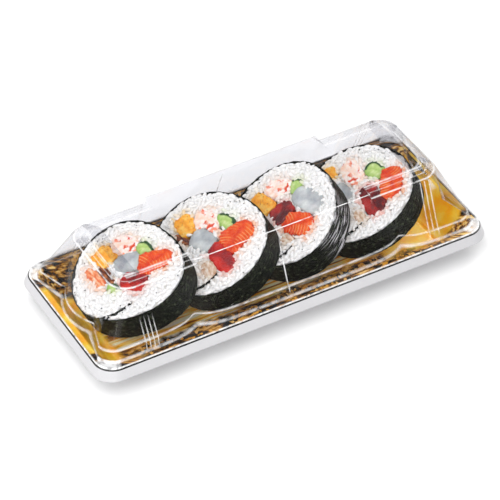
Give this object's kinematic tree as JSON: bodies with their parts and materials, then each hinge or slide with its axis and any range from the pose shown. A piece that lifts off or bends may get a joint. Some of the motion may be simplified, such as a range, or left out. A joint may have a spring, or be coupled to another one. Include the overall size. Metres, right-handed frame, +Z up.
{
  "type": "takeaway sushi tray",
  "caption": "Printed plastic takeaway tray with a clear lid that clips shut, holding slices of thick rolled sushi that lean on one another.",
  "frame": {"origin": "under the middle of the tray, on the surface it stands on", "axes": "+X along the tray, towards the end that the slices' backs face; +Y across it, towards the back; +Z up"},
  "size_m": [0.2182, 0.0912, 0.0498],
  "materials": {
    "tray_sheet": "pressed plastic sheet, white below, gold and black print with gold dust above",
    "lid_sheet": "thin clear plastic, formed by vacuum",
    "nori": "dark green-black pressed seaweed sheet, finely wrinkled, half gloss",
    "rice": "cooked short-grain rice, moist grains",
    "salmon": "raw salmon, moist, with pale fat lines",
    "tuna": "raw tuna, deep red, moist",
    "cucumber": "cut cucumber, pale flesh and dark green skin",
    "squid": "raw squid, translucent pale grey-blue",
    "shrimp": "boiled shrimp, white with orange-red bands",
    "omelette": "rolled omelette, yellow, with fine pores",
    "mushroom": "simmered mushroom, dark brown, glazed",
    "crab": "shredded crab, orange-pink fibres",
    "gourd": "simmered gourd strip, translucent beige"
  },
  "bodies": {
    "root": {"lid": "lid_sheet", "roll_1_crab": "crab", "roll_1_cucumber": "cucumber", "roll_1_cucumber_stick": "cucumber", "roll_1_mushroom": "mushroom", "roll_1_nori": "nori", "roll_1_omelette": "omelette", "roll_1_rice": "rice", "roll_1_salmon": "salmon", "roll_1_shrimp": "shrimp", "roll_1_squid": "squid", "roll_1_tuna": "tuna", "roll_2_cucumber": "cucumber", "roll_2_gourd": "gourd", "roll_2_mushroom": "mushroom", "roll_2_nori": "nori", "roll_2_omelette": "omelette", "roll_2_rice": "rice", "roll_2_salmon": "salmon", "roll_2_shrimp": "shrimp", "roll_2_squid": "squid", "roll_2_tuna": "tuna", "roll_3_cucumber": "cucumber", "roll_3_gourd": "gourd", "roll_3_nori": "nori", "roll_3_omelette": "omelette", "roll_3_rice": "rice", "roll_3_salmon": "salmon", "roll_3_shrimp": "shrimp", "roll_3_squid": "squid", "roll_3_tuna": "tuna", "roll_4_cucumber": "cucumber", "roll_4_gourd": "gourd", "roll_4_nori": "nori", "roll_4_omelette": "omelette", "roll_4_rice": "rice", "roll_4_salmon": "salmon", "roll_4_shrimp": "shrimp", "roll_4_squid": "squid", "roll_4_tuna": "tuna", "tray": "tray_sheet"}
  },
  "joints": []
}
